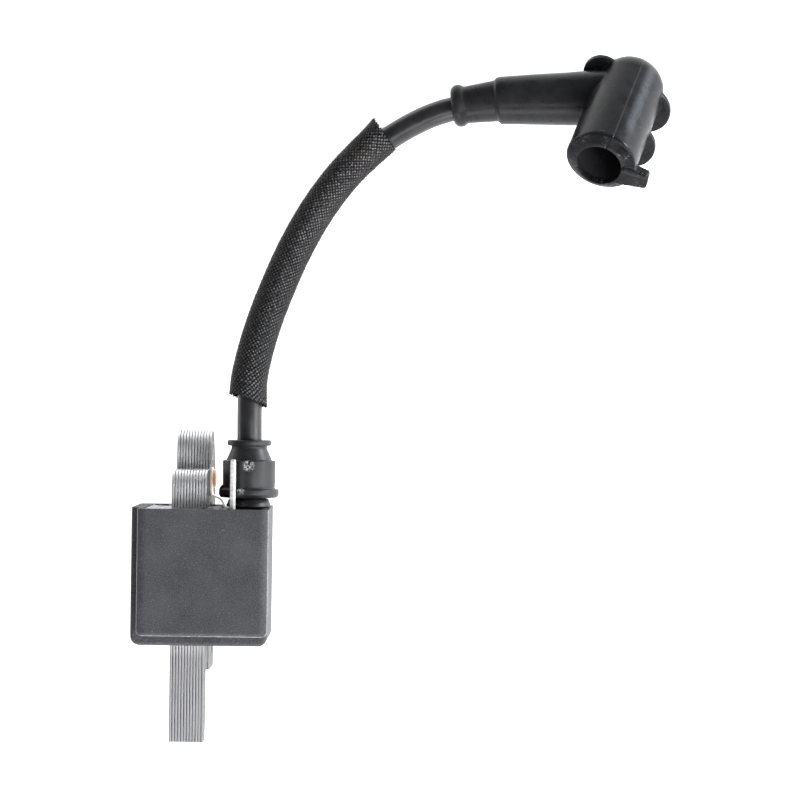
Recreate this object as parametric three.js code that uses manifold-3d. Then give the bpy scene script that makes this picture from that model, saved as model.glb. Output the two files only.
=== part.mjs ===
// Ignition coil of a small engine: a laminated U core with a potted coil on its front leg,
// and a high-tension lead in a loose braided sleeve that ends in a rubber plug boot.
//
// Millimetres. The coil lies on a bench at z = 0, seen from above: +X runs across the core's
// stack, +Y along its legs towards the bridge, +Z up from the bench to the cover of the case.
import * as THREE from 'three';
import { mergeVertices } from 'three/addons/utils/BufferGeometryUtils.js';
import Module from 'manifold-3d';

const wasm = await Module();
wasm.setup();

// ---- driving dimensions ----------------------------------------------------------------

const GAP = 0.3; // between pieces that touch where one of them is cut or turned
const SKIN = 0.1; // between flat faces that lie on each other

const core = {
  count: 12,
  pitch: 0.82, // lamination and its varnish
  sheet: 0.76,
  left: -9.4, // first face of the stack
  tip: -43.6, // end of the front pole
  front: 31, // outer face of the front leg
  legBack: 21,
  rear: 10, // inner face of the rear limb
  bridgeBottom: 23,
  bridgeTop: 32.6,
  rearEnd: -25.3,
  flywheel: { y: -61.25, z: -3, r: 36 },
  lobe: { y: 37.6, z: 11, r: 6 },
  boltRadius: 2.6,
  lowerBolt: { y: -19.4, z: 5 },
  rivet: { y: 30, z: 19, shank: 1.5, head: 2.7, proud: 1.1 },
};
core.right = core.left + core.count * core.pitch;
core.middle = (core.left + core.right) / 2;

const housing = {
  left: -20.1,
  right: 18,
  bottom: -16.1,
  top: 22.3,
  back: 11.3,
  step: 36, // where the front pocket begins
  front: 43.5,
  pocketLeft: -17.7,
  pocketBottom: -12.8,
  wall: 1.5,
  corner: 2.4,
};

const tower = { x: 11.7, z: 24, foot: 18, seat: 24.6, rim: 34.6, bore: 3.85 };
const lead = { radius: 3.5, sides: 12, steps: 30 };
const sleeve = { outer: 5.2, inner: 4.7, sides: 12, steps: 18 };

const barrel = {
  centre: [119, 143.3, 10],
  azimuth: 246.5, // degrees, the way the mouth points
  elevation: 43.3,
  radius: 10,
  lip: 27, // where the lower side begins to come in towards the rim
  lipShare: 0.83,
  rim: 34.8,
  mouth: 36.2,
  bore: 6.5,
  contactBore: 5.2,
};
const neckStart = [68.3, 138.3, 7.6]; // where the lead enters the plug boot
const neckEnd = [116.8, 141.2, 12.4]; // where the neck's axis meets the barrel's

// ---- routes ----------------------------------------------------------------------------

const leadRoute = [
  [11.7, 25, 24], [11.7, 33, 24], [11.7, 41.2, 24], [11.6, 49.5, 23.8], [11.7, 58.3, 22.5],
  [13.3, 66.8, 20], [15.8, 75.5, 16.8], [18.9, 84.4, 13.5], [23.5, 95.6, 10], [29.6, 107, 7.4],
  [36.7, 117, 6], [42.6, 123.4, 5.6], [47, 127.1, 5.5], [51.5, 130.2, 5.65], [56.8, 133.3, 6.1],
  [62.4, 135.9, 6.8], [68.3, 137.7, 7.5], [74, 138.5, 8.15], [80, 139, 8.8], [94, 139.8, 10.1],
  [108.5, 140.7, 11.6],
];
const sleeveRoute = [
  [11.1, 52.6, 23.4], [11.3, 58.5, 22.5], [12.9, 67, 20], [15.3, 75.8, 16.8], [18.4, 84.7, 13.5],
  [23, 95.9, 10], [29.1, 107.4, 7.4], [36.2, 117.4, 6], [42.3, 123.8, 5.5], [49, 129.5, 5.5],
];

// ---- materials -------------------------------------------------------------------------

const look = (color, roughness, metalness) => ({ color, roughness, metalness });
const STEEL = look(0xa9a9a6, 0.38, 0.9);
const COPPER = look(0xb4572e, 0.35, 1);
const TINNED = look(0xd6d2c4, 0.35, 0.9);
const ZINC = look(0xc4c2b6, 0.45, 0.85);
const CASE_PLASTIC = look(0x4a4a50, 0.62, 0);
const RESIN = look(0x77777a, 0.25, 0);
const NYLON = look(0xd8cfb4, 0.6, 0);
const ENAMEL = look(0x9a4a22, 0.4, 0.6);
const TOWER_PLASTIC = look(0x17171a, 0.5, 0);
const RUBBER = look(0x242427, 0.55, 0);
const LEAD_RUBBER = look(0x1c1c1f, 0.35, 0);
const BRAID = look(0x2a2a2e, 0.7, 0);
const BOARD = look(0x2f6b45, 0.55, 0);
const BLACK_EPOXY = look(0x151517, 0.5, 0);
const CERAMIC = look(0xb98b5a, 0.5, 0);
const SPRING = look(0xb9bcc0, 0.3, 1);

// ---- helpers ---------------------------------------------------------------------------

const vector = (p) => new THREE.Vector3(...p);

function toSolid(geometry) {
  const bare = new THREE.BufferGeometry();
  bare.setAttribute('position', geometry.getAttribute('position'));
  if (geometry.index) bare.setIndex(geometry.index);
  const merged = mergeVertices(bare, 1e-4);
  return new wasm.Manifold(new wasm.Mesh({
    numProp: 3,
    vertProperties: new Float32Array(merged.getAttribute('position').array),
    triVerts: new Uint32Array(merged.index.array),
  }));
}

function toGeometry(solid) {
  const mesh = solid.getMesh();
  const geometry = new THREE.BufferGeometry();
  geometry.setAttribute('position', new THREE.BufferAttribute(mesh.vertProperties, 3));
  geometry.setIndex(new THREE.BufferAttribute(mesh.triVerts, 1));
  geometry.computeVertexNormals();
  return geometry;
}

const join = (...geometries) =>
  geometries.map(toSolid).reduce((sum, next) => sum.add(next));
const cut = (solid, ...geometries) =>
  geometries.map(toSolid).reduce((rest, next) => rest.subtract(next), solid);

// A block between two corners.
function block(low, high) {
  const size = vector(high).sub(vector(low));
  const middle = vector(high).add(vector(low)).multiplyScalar(0.5);
  return new THREE.BoxGeometry(size.x, size.y, size.z).translate(...middle);
}

function roundedRectangle(x0, y0, x1, y1, r) {
  const shape = new THREE.Shape();
  shape.moveTo(x0 + r, y0);
  shape.absarc(x1 - r, y0 + r, r, -Math.PI / 2, 0);
  shape.absarc(x1 - r, y1 - r, r, 0, Math.PI / 2);
  shape.absarc(x0 + r, y1 - r, r, Math.PI / 2, Math.PI);
  shape.absarc(x0 + r, y0 + r, r, Math.PI, 1.5 * Math.PI);
  return shape;
}

const prism = (shape, depth, curveSegments = 4) =>
  new THREE.ExtrudeGeometry(shape, { depth, bevelEnabled: false, curveSegments });

// A round column along Y: points are [radius, y] from one end to the other, on the axis at both.
const column = (points, segments = 28) =>
  new THREE.LatheGeometry(points.map(([r, y]) => new THREE.Vector2(r, y)), segments);

const rod = (radius, length, segments = 24) =>
  new THREE.CylinderGeometry(radius, radius, length, segments);

// A cylinder or cone between two points, with its own radius at each.
function bar(from, to, startRadius, endRadius, segments = 24) {
  const along = vector(to).sub(vector(from));
  const geometry = new THREE.CylinderGeometry(endRadius, startRadius, along.length(), segments);
  geometry.translate(0, along.length() / 2, 0);
  const turn = new THREE.Quaternion().setFromUnitVectors(
    new THREE.Vector3(0, 1, 0), along.clone().normalize());
  return geometry.applyQuaternion(turn).translate(...from);
}

function ring(outer, inner, sides) {
  const circle = (r, path) => {
    for (let i = 0; i < sides; i += 1) {
      const turn = (2 * Math.PI * i) / sides;
      const point = [r * Math.cos(turn), r * Math.sin(turn)];
      if (i === 0) path.moveTo(...point);
      else path.lineTo(...point);
    }
    path.closePath();
    return path;
  };
  const shape = circle(outer, new THREE.Shape());
  if (inner > 0) shape.holes.push(circle(inner, new THREE.Path()));
  return shape;
}

const tube = (shape, points, steps) => new THREE.ExtrudeGeometry(shape, {
  steps,
  bevelEnabled: false,
  extrudePath: new THREE.CatmullRomCurve3(points.map(vector), false, 'centripetal'),
});

const assembly = new THREE.Group();

function piece(name, geometry, finish, parent = assembly) {
  const material = new THREE.MeshStandardMaterial(finish);
  const mesh = new THREE.Mesh(geometry, material);
  mesh.name = name;
  parent.add(mesh);
  return mesh;
}

// ---- laminated core --------------------------------------------------------------------

// Shapes drawn in the plane of a lamination, (y, z), then stood up with their depth along X.
const acrossStack = new THREE.Matrix4().makeBasis(
  new THREE.Vector3(0, 1, 0), new THREE.Vector3(0, 0, 1), new THREE.Vector3(1, 0, 0));
const standUp = (geometry) => geometry.applyMatrix4(acrossStack);

// Height of the flywheel's rim above the bench at a given y.
const { flywheel } = core;
const rimHeight = (y) => flywheel.z + Math.sqrt(flywheel.r ** 2 - (y - flywheel.y) ** 2);
const rimAngle = (y) => Math.acos((y - flywheel.y) / flywheel.r);

function laminationShape() {
  const shoulder = -24.2; // where the pole is stepped back from its full depth
  const poleBack = 25.5;
  const arcStart = flywheel.y + Math.sqrt(flywheel.r ** 2 - (poleBack - flywheel.z) ** 2);
  const foot = { y: -17.6, z: 12.4 };
  const corner = 4.6;
  const { lobe } = core;
  const shape = new THREE.Shape();
  shape.moveTo(core.tip, core.front);
  shape.lineTo(core.tip, rimHeight(core.tip));
  shape.absarc(flywheel.y, flywheel.z, flywheel.r, rimAngle(core.tip), rimAngle(arcStart), true);
  shape.lineTo(shoulder, poleBack);
  shape.lineTo(shoulder + 2.5, core.legBack);
  shape.lineTo(core.bridgeBottom, core.legBack);
  shape.lineTo(core.bridgeBottom, core.rear);
  shape.lineTo(foot.y, core.rear);
  shape.lineTo(foot.y, foot.z);
  shape.lineTo(core.rearEnd, foot.z);
  shape.lineTo(core.rearEnd, 0);
  shape.lineTo(lobe.y - lobe.r, 0);
  // From that corner the edge runs straight up to the lobe and meets it at a tangent.
  const tangent = Math.atan2(-lobe.z, -lobe.r) + Math.acos(lobe.r / Math.hypot(lobe.r, lobe.z));
  shape.absarc(lobe.y, lobe.z, lobe.r, tangent, Math.PI / 2);
  shape.lineTo(core.bridgeTop, lobe.z + lobe.r);
  shape.absarc(core.bridgeTop - corner, core.front - corner, corner, 0, Math.PI / 2);
  shape.closePath();
  const hole = (y, z, r) => {
    const path = new THREE.Path();
    path.absarc(y, z, r, 0, 2 * Math.PI, true);
    shape.holes.push(path);
  };
  hole(lobe.y, lobe.z, core.boltRadius);
  hole(core.lowerBolt.y, core.lowerBolt.z, core.boltRadius);
  hole(core.rivet.y, core.rivet.z, core.rivet.shank + GAP);
  return shape;
}

const lamination = standUp(prism(laminationShape(), core.sheet, 4));
for (let i = 0; i < core.count; i += 1) {
  const number = String(i + 1).padStart(2, '0');
  piece(`lamination_${number}`, lamination.clone(), STEEL)
    .position.x = core.left + i * core.pitch;
}

// ---- earth connection: rivet through the stack and the strip under its head --------------

const strip = { thickness: 0.5, low: 16.4, high: 21.6 };
const stripFace = core.right + SKIN;

function rivetSolid() {
  const { rivet } = core;
  const headStart = stripFace + strip.thickness + SKIN;
  const length = headStart + 0.5 - core.left;
  const shank = rod(rivet.shank, length, 16).rotateZ(Math.PI / 2)
    .translate(core.left + length / 2, rivet.y, rivet.z);
  const head = column([[0, 0], [rivet.head, 0], [rivet.head, rivet.proud * 0.45],
    [rivet.head * 0.7, rivet.proud], [0, rivet.proud]], 20).rotateZ(-Math.PI / 2)
    .translate(headStart, rivet.y, rivet.z);
  return toGeometry(join(shank, head));
}
piece('ground_rivet', rivetSolid(), COPPER);

// A bent strip: its path in (x, y), thickened to one side, its width along Z.
function bentStrip(path, thickness) {
  const points = path.map(([x, y]) => new THREE.Vector2(x, y));
  const normals = points.map((point, i) => {
    const before = points[Math.max(i - 1, 0)];
    const after = points[Math.min(i + 1, points.length - 1)];
    const along = after.clone().sub(before).normalize();
    return new THREE.Vector2(-along.y, along.x);
  });
  const offset = points.map((p, i) => p.clone().addScaledVector(normals[i], thickness));
  return new THREE.Shape([...points, ...offset.reverse()]);
}

function groundStrip() {
  const inner = stripFace;
  const path = [[inner, 33.2], [inner, 26.2], [inner + 0.5, 25], [inner + 1.6, 24.6],
    [inner + 2.6, 24.2], [inner + 3.6, 22.8], [inner + 4.1, 19.6]];
  const flat = prism(bentStrip(path, strip.thickness), strip.high - strip.low);
  const solid = cut(toSolid(flat.translate(0, 0, strip.low)),
    rod(core.rivet.shank + SKIN, 8, 16).rotateZ(Math.PI / 2)
      .translate(stripFace, core.rivet.y, core.rivet.z));
  return toGeometry(solid);
}
piece('ground_strip', groundStrip(), TINNED);

// ---- coil case and its potting -----------------------------------------------------------

const leg = { x0: core.left, x1: core.right, z0: core.legBack, z1: core.front };
const cavity = {
  x0: housing.pocketLeft + housing.wall,
  x1: housing.right - housing.wall,
  y0: housing.pocketBottom + housing.wall,
  z0: housing.back + housing.wall,
  z1: housing.front - housing.wall,
};

function caseSolid() {
  const h = housing;
  const above = 6; // the round corners at the open side are cut off with this much
  const body = prism(roundedRectangle(h.left, h.bottom, h.right, h.top + above, h.corner),
    h.step - h.back).translate(0, 0, h.back);
  const edge = 1.2; // rounding of the pocket's front edges
  const pocketShape = roundedRectangle(h.pocketLeft + edge, h.pocketBottom + edge,
    h.right + 0.4 - edge, h.top + above, 1);
  const pocket = new THREE.ExtrudeGeometry(pocketShape, {
    depth: h.front - h.step - edge + 1,
    curveSegments: 4,
    bevelThickness: edge,
    bevelSize: edge,
    bevelSegments: 3,
  }).translate(0, 0, h.step - 1);
  const openEnd = block([h.left - 9, h.top, h.back - 9], [h.right + 9, h.top + 20, h.front + 9]);
  const inside = block([cavity.x0, cavity.y0, cavity.z0], [cavity.x1, h.top + 9, cavity.z1]);
  const legSlot = block([leg.x0 - SKIN, h.bottom - 9, leg.z0 - SKIN],
    [leg.x1 + SKIN, h.top, leg.z1 + SKIN]);
  return cut(join(body, pocket), openEnd, inside, legSlot);
}
piece('coil_case', toGeometry(caseSolid()), CASE_PLASTIC);

const towerHole = (y0, y1, r) =>
  rod(r, y1 - y0, 32).translate(tower.x, (y0 + y1) / 2, tower.z);

const tab = { x: 7.4, thickness: 1.2, low: 32.4, high: 38.7, foot: 19.6, tip: 35.9 };

function pottingLayer() {
  const level = { y0: 18.2, y1: 21.5 };
  const slab = block([cavity.x0 + SKIN, level.y0, cavity.z0 + SKIN],
    [cavity.x1 - SKIN, level.y1, cavity.z1 - SKIN]);
  const legHole = block([leg.x0 - GAP, 0, leg.z0 - GAP], [leg.x1 + GAP, 40, leg.z1 + GAP]);
  const tabHole = block([tab.x - SKIN, 0, tab.low - SKIN],
    [tab.x + tab.thickness + SKIN, 40, tab.high + SKIN]);
  const stripHole = block([core.right + 2.2, 0, strip.low - SKIN],
    [core.right + 5, 40, strip.high + SKIN]);
  const solid = cut(toSolid(slab), legHole, tabHole, stripHole, towerHole(0, 40, 4.5 + SKIN));
  return toGeometry(solid);
}
piece('potting_resin', pottingLayer(), RESIN);

// ---- windings on the front leg -------------------------------------------------------------

// A rectangular sleeve round the leg, between two distances from the leg's faces, along Y.
function legSleeve(inner, outer, y0, y1, round) {
  const box = (d) => [leg.x0 - d, leg.z0 - d, leg.x1 + d, leg.z1 + d];
  const shape = roundedRectangle(...box(outer), round);
  const [x0, z0, x1, z1] = box(inner);
  shape.holes.push(new THREE.Path([[x0, z0], [x0, z1], [x1, z1], [x1, z0]]
    .map(([x, z]) => new THREE.Vector2(x, z))));
  return prism(shape, y1 - y0, 2).rotateX(Math.PI / 2).translate(0, y1, 0);
}

const flange = 0.8; // thickness of a bobbin's flanges

// A bobbin: a thin sleeve with flanges at the given places.
function bobbin(inner, outer, y0, y1, rim, flanges) {
  const sleeveSolid = toSolid(legSleeve(inner, outer, y0, y1, 0.6));
  return flanges.reduce((solid, y) =>
    solid.add(toSolid(legSleeve(inner, rim, y, y + flange, 1.2))), sleeveSolid);
}

const winding = { y0: -9.8, y1: 16.8 };
const layers = { primaryTube: 0.2, primaryWire: 1.2, secondaryTube: 3.4, secondaryWire: 4.4 };
const coilOuter = 6.7;

const primaryBobbin = bobbin(layers.primaryTube, layers.primaryWire - SKIN, winding.y0,
  winding.y1, layers.secondaryTube - GAP, [winding.y0, winding.y1 - flange]);
piece('primary_bobbin', toGeometry(primaryBobbin), NYLON);
piece('primary_winding', legSleeve(layers.primaryWire, layers.secondaryTube - GAP,
  winding.y0 + 1.1, winding.y1 - 1.1, 1.4), ENAMEL);

const sections = 5;
const sectionPitch = (winding.y1 - winding.y0 - flange) / sections;
const flangePlaces = Array.from({ length: sections + 1 }, (_, i) => winding.y0 + i * sectionPitch);
const innerFlanges = flangePlaces.slice(1, -1);
const crossing = 1.6; // half the width of the slots where the fine wire crosses the flanges

function secondaryBobbin() {
  const whole = bobbin(layers.secondaryTube, layers.secondaryWire - SKIN, winding.y0,
    winding.y1, coilOuter, flangePlaces);
  const slot = crossing + SKIN;
  const slots = innerFlanges.map((y) =>
    block([core.middle - slot, y - 0.5, leg.z1 + layers.secondaryWire - 2 * SKIN],
      [core.middle + slot, y + 1.5, leg.z1 + 12]));
  return toGeometry(cut(whole, ...slots));
}
piece('secondary_bobbin', secondaryBobbin(), NYLON);

// The fine wire fills the sections of its bobbin and crosses over between them in the slots, so
// it is one body: a sleeve with grooves for the flanges.
function secondaryWinding() {
  const whole = toSolid(legSleeve(layers.secondaryWire, coilOuter - 0.3,
    winding.y0 + 1, winding.y1 - 1, 1.7));
  const grooves = innerFlanges.map((y) => cut(
    toSolid(block([leg.x0 - 20, y - SKIN, leg.z0 - 20],
      [leg.x1 + 20, y + flange + SKIN, leg.z1 + 20])),
    block([core.middle - crossing, y - 1, leg.z1], [core.middle + crossing, y + 2, leg.z1 + 25]),
  ));
  return toGeometry(grooves.reduce((rest, groove) => rest.subtract(groove), whole));
}
piece('secondary_winding', secondaryWinding(), ENAMEL);

// ---- ignition circuit in the front pocket --------------------------------------------------

const board = { z0: 39.2, z1: 40.4, x0: -15.4, x1: 15.6, y0: -10.4, y1: 16.8 };
piece('circuit_board', block([board.x0, board.y0, board.z0], [board.x1, board.y1, board.z1]), BOARD);

const onBoard = board.z1 + SKIN;
const under = board.z0 - SKIN;
piece('storage_capacitor', block([8.6, -9.6, under - 6], [15, 2, under]), CERAMIC);
piece('switching_transistor', block([8.8, 4, under - 3.4], [14.6, 12.4, under]), BLACK_EPOXY);
piece('trigger_transistor', block([-13.4, -8.4, onBoard], [-8.4, -4.6, onBoard + 1.2]), BLACK_EPOXY);
piece('bias_resistor', block([-4.6, -7.4, onBoard], [1.6, -4.4, onBoard + 0.7]), CERAMIC);
piece('timing_resistor', block([-4.6, 0.4, onBoard], [1.6, 3.4, onBoard + 0.7]), CERAMIC);
piece('damping_diode', block([5.2, 5.8, onBoard], [9.8, 8.4, onBoard + 1.2]), BLACK_EPOXY);

// ---- kill tab ------------------------------------------------------------------------------

function killTab() {
  const middle = (tab.low + tab.high) / 2;
  const shape = new THREE.Shape();
  shape.moveTo(tab.foot, tab.low);
  shape.lineTo(tab.tip - 1.8, tab.low);
  shape.lineTo(tab.tip, tab.low + 1.6);
  shape.lineTo(tab.tip, tab.high - 1.6);
  shape.lineTo(tab.tip - 1.8, tab.high);
  shape.lineTo(tab.foot, tab.high);
  shape.closePath();
  const detent = new THREE.Path();
  detent.absarc(tab.tip - 4, middle, 0.9, 0, 2 * Math.PI, true);
  shape.holes.push(detent);
  return standUp(prism(shape, tab.thickness, 6)).translate(tab.x, 0, 0);
}
piece('kill_tab', killTab(), ZINC);

// ---- high-tension tower, its terminal and the exit boot --------------------------------------

// Round pieces on the tower's axis, drawn from the origin and moved there.
const onTower = (solid) => toGeometry(solid).translate(tower.x, 0, tower.z);

const towerOutside = column([[0, tower.foot], [4.5, tower.foot], [4.5, housing.top + SKIN],
  [6.4, housing.top + SKIN], [5.6, tower.seat], [4.8, tower.seat + 0.1], [4.8, tower.rim],
  [0, tower.rim]]);
const towerInside = column([[0, 24], [tower.bore, 24], [tower.bore, 50], [0, 50]]);
const terminalHole = rod(1.1, 20, 16).translate(0, 16, 0);
piece('hv_tower', onTower(cut(toSolid(towerOutside), towerInside, terminalHole)), TOWER_PLASTIC);

const terminal = column([[0, 16.6], [1.9, 16.6], [1.9, 17.7], [1, 17.8], [1, 24.4], [0, 24.7]], 16);
piece('hv_terminal', onTower(toSolid(terminal)), ZINC);

function exitBoot() {
  const outside = column([[0, 25], [8.3, 25], [8.5, 26.4], [8.3, 27.6], [7.4, 27.9], [7.4, 35.4],
    [6.3, 35.7], [5, 38.6], [5, 39.4], [6.1, 39.7], [6.2, 40.8], [5.9, 41.2], [0, 41.2]]);
  const socket = column([[0, 20], [5.1, 20], [5.1, tower.rim + GAP], [tower.bore, tower.rim + 1],
    [tower.bore, 50], [0, 50]]);
  const lug = rod(1.9, 4, 20).rotateX(Math.PI / 2).translate(-6.4, 26.9, 0);
  return cut(join(outside, lug), socket);
}
piece('exit_boot', onTower(exitBoot()), RUBBER);

// ---- high-tension lead and its loose braided sleeve -------------------------------------------

piece('ht_lead', tube(ring(lead.radius, 0, lead.sides), leadRoute, lead.steps), LEAD_RUBBER);
piece('braided_sleeve',
  tube(ring(sleeve.outer, sleeve.inner, sleeve.sides), sleeveRoute, sleeve.steps), BRAID);

// ---- plug boot -------------------------------------------------------------------------------

// The boot's own frame: its origin is the centre of the dome and +Z runs out of the mouth.
const azimuth = THREE.MathUtils.degToRad(barrel.azimuth);
const elevation = THREE.MathUtils.degToRad(barrel.elevation);
const outOfMouth = new THREE.Vector3(
  Math.cos(elevation) * Math.cos(azimuth),
  Math.cos(elevation) * Math.sin(azimuth),
  Math.sin(elevation),
);
const sideways = new THREE.Vector3(-Math.sin(azimuth), Math.cos(azimuth), 0);
const overBack = new THREE.Vector3().crossVectors(outOfMouth, sideways);
const bootFrame = new THREE.Matrix4().makeBasis(sideways, overBack, outOfMouth)
  .setPosition(...barrel.centre);
const boot = new THREE.Group();
boot.applyMatrix4(bootFrame);
assembly.add(boot);

const intoBoot = bootFrame.clone().invert();
const local = (point) => vector(point).applyMatrix4(intoBoot).toArray();
const lathe = (points) => column(points).rotateX(Math.PI / 2);

// A place on the straight axis of the neck, this far past the face where the lead enters.
function onNeck(distance) {
  const along = vector(neckEnd).sub(vector(neckStart)).normalize();
  return local(vector(neckStart).addScaledVector(along, distance).toArray());
}

// The rim is thinner on the lower side of the mouth: its skin comes in over the last stretch.
function thinLip(geometry) {
  const places = geometry.getAttribute('position');
  for (let i = 0; i < places.count; i += 1) {
    const atRim = places.getZ(i) > barrel.rim - 0.1 && places.getZ(i) < barrel.rim + 0.1;
    if (atRim && places.getY(i) < 0) places.setY(i, places.getY(i) * barrel.lipShare);
  }
  return geometry;
}

function barrelOutside() {
  const points = [];
  const domeSteps = 6;
  for (let i = 0; i <= domeSteps; i += 1) {
    const turn = (Math.PI / 2) * (1 - i / domeSteps);
    points.push([barrel.radius * Math.cos(turn), -barrel.radius * Math.sin(turn)]);
  }
  points[0][0] = 0;
  points.push([barrel.radius, barrel.lip], [barrel.radius, barrel.rim],
    [barrel.bore + 0.3, barrel.mouth], [0, barrel.mouth]);
  return thinLip(lathe(points));
}

const barrelInside = lathe([[0, -1.5], [barrel.contactBore, -1.5], [barrel.contactBore, 15],
  [barrel.bore, 16.5], [barrel.bore, 50], [0, 50]]);

// Round finger grips, square to the barrel: two beside it and a smaller one over the neck.
const gripDiscs = [
  { x: 6, y: -2.3, z: 1.5, r: 7.8 },
  { x: 6, y: -4.2, z: 16.6, r: 7.5 },
  { x: -9.1, y: 1, z: -1.5, r: 5.5 },
];
const gripThickness = 2.2;
const gripFloor = -10.2; // none stands out further than this on the barrel's underside

const grips = gripDiscs.map(({ x, y, z, r }) => cut(
  toSolid(rod(r, gripThickness, 36).rotateX(Math.PI / 2).translate(x, y, z)),
  block([-30, -40, z - 5], [30, gripFloor, z + 5]),
));

// The bead is where the lead goes in; the neck runs from it to the barrel in three steps.
const neck = {
  bead: [70.2, 138.6, 7.9],
  collar: [81.2, 140, 9.4],
  middle: [101.9, 140.6, 11.3],
  end: [117.2, 141.2, 12.4],
};

// A tab to pull the boot off by, a plate beside the mouth that widens towards the barrel.
function pullTab() {
  const outline = [[7, 3.6], [7, -3.9], [14.6, -2.2], [13.8, 3.5]]
    .map(([x, y]) => new THREE.Vector2(x, y));
  return prism(new THREE.Shape(outline), 2.4).translate(0, 0, 31);
}

function plugBoot() {
  const bead = column([[0, -2], [4.8, -2], [5.7, -1.2], [6, 0], [5.7, 1.2], [4.8, 2], [0, 2]]);
  const facing = vector(local(neck.collar)).sub(vector(local(neck.bead))).normalize();
  const beadTurn = new THREE.Quaternion().setFromUnitVectors(new THREE.Vector3(0, 1, 0), facing);
  bead.applyQuaternion(beadTurn).translate(...local(neck.bead));
  const outside = join(
    barrelOutside(),
    bead,
    bar(local(neck.bead), onNeck(14), 5, 5.6),
    bar(local(neck.collar), local(neck.middle), 6.7, 7.6),
    bar(local(neck.middle), local(neck.end), 7.6, 8.2),
    pullTab(),
  );
  const whole = grips.reduce((sum, grip) => sum.add(grip), outside);
  return cut(whole, barrelInside, bar(onNeck(-6), onNeck(46), tower.bore, tower.bore),
    bar(onNeck(-3), onNeck(5), 5, tower.bore));
}
piece('plug_boot', toGeometry(plugBoot()), RUBBER, boot);

// Contact: a coil of spring wire that grips the plug's terminal, its tail against the lead's end.
function contactSpring() {
  const coil = { radius: 3.9, turns: 5, pitch: 2, start: 4.6, perTurn: 12, wire: 0.5 };
  const tail = [41, 43].map(onNeck);
  const angle = Math.atan2(tail[1][1], tail[1][0]) + 0.5;
  const points = [...tail];
  for (let i = 0; i <= coil.turns * coil.perTurn; i += 1) {
    const turn = angle + (2 * Math.PI * i) / coil.perTurn;
    points.push([coil.radius * Math.cos(turn), coil.radius * Math.sin(turn),
      coil.start + (coil.pitch * i) / coil.perTurn]);
  }
  return tube(ring(coil.wire, 0, 6), points, 66);
}
piece('plug_contact_spring', contactSpring(), SPRING, boot);

export default assembly;
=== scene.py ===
"""Looks of the small-engine ignition coil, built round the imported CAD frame.

Sizes are millimetres in the frame of the CAD model (the coil lies on a bench at z = 0) and are
turned into metres where a mesh is made. Sizes inside materials are in metres, unless they say.
"""
import math

import bmesh
import bpy
import numpy as np
from mathutils import Matrix, Vector


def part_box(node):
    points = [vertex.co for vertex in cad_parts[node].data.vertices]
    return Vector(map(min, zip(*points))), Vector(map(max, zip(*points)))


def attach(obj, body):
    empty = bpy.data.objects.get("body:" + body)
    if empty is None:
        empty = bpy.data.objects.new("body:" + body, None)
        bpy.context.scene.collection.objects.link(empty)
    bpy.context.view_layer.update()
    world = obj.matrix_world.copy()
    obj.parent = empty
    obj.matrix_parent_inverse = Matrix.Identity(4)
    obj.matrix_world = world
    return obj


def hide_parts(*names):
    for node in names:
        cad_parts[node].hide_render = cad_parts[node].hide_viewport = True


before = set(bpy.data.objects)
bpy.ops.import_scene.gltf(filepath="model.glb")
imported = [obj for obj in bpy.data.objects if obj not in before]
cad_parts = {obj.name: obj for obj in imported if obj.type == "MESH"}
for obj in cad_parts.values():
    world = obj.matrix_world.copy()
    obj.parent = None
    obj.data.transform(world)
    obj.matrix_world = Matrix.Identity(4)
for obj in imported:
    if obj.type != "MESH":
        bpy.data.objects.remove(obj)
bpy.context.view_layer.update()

MM = 0.001
rng = np.random.default_rng(7)

# ---- places taken from the frame ----


def box_mm(node):
    """Lowest and highest corner of a CAD node, in millimetres."""
    low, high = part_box(node)
    return Vector(low) / MM, Vector(high) / MM


# Millimetres, like every size outside the materials and the lamps.
STACK_LEFT = box_mm("lamination_01")[0].x
STACK_RIGHT = box_mm("lamination_12")[1].x
CASE_LOW, CASE_HIGH = box_mm("coil_case")
TOWER_X, TOWER_Z, TOWER_RADIUS = 11.7, 24.0, 4.5

# ---- camera ----

VIEW_CENTRE = (54.1, 53.1)
CAMERA_HEIGHT = 681.0
SENSOR, FOCAL_LENGTH = 36, 104.5
LEAN = math.radians(0.8)  # the coil leans this much in the picture


def add_object(name, data):
    made = bpy.data.objects.new(name, data)
    bpy.context.scene.collection.objects.link(made)
    return made


def make_camera():
    data = bpy.data.cameras.new("camera")
    data.sensor_width = SENSOR
    data.lens = FOCAL_LENGTH
    data.clip_end = 10
    camera = add_object("camera", data)
    camera.matrix_world = (
        Matrix.Translation(Vector((*VIEW_CENTRE, CAMERA_HEIGHT)) * MM)
        @ Matrix.Rotation(LEAN, 4, "Z")
    )
    bpy.context.scene.camera = camera


make_camera()
bpy.context.scene.view_settings.view_transform = "Standard"

# ---- shader helpers ----


def is_socket(value):
    return isinstance(value, bpy.types.NodeSocket)


def add_node(tree, kind, inputs=None, **settings):
    """A shader node with its settings, and its inputs linked or set."""
    made = tree.nodes.new("ShaderNode" + kind)
    for key, value in settings.items():
        setattr(made, key, value)
    for key, value in (inputs or {}).items():
        if is_socket(value):
            tree.links.new(value, made.inputs[key])
        else:
            made.inputs[key].default_value = value
    return made


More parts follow.
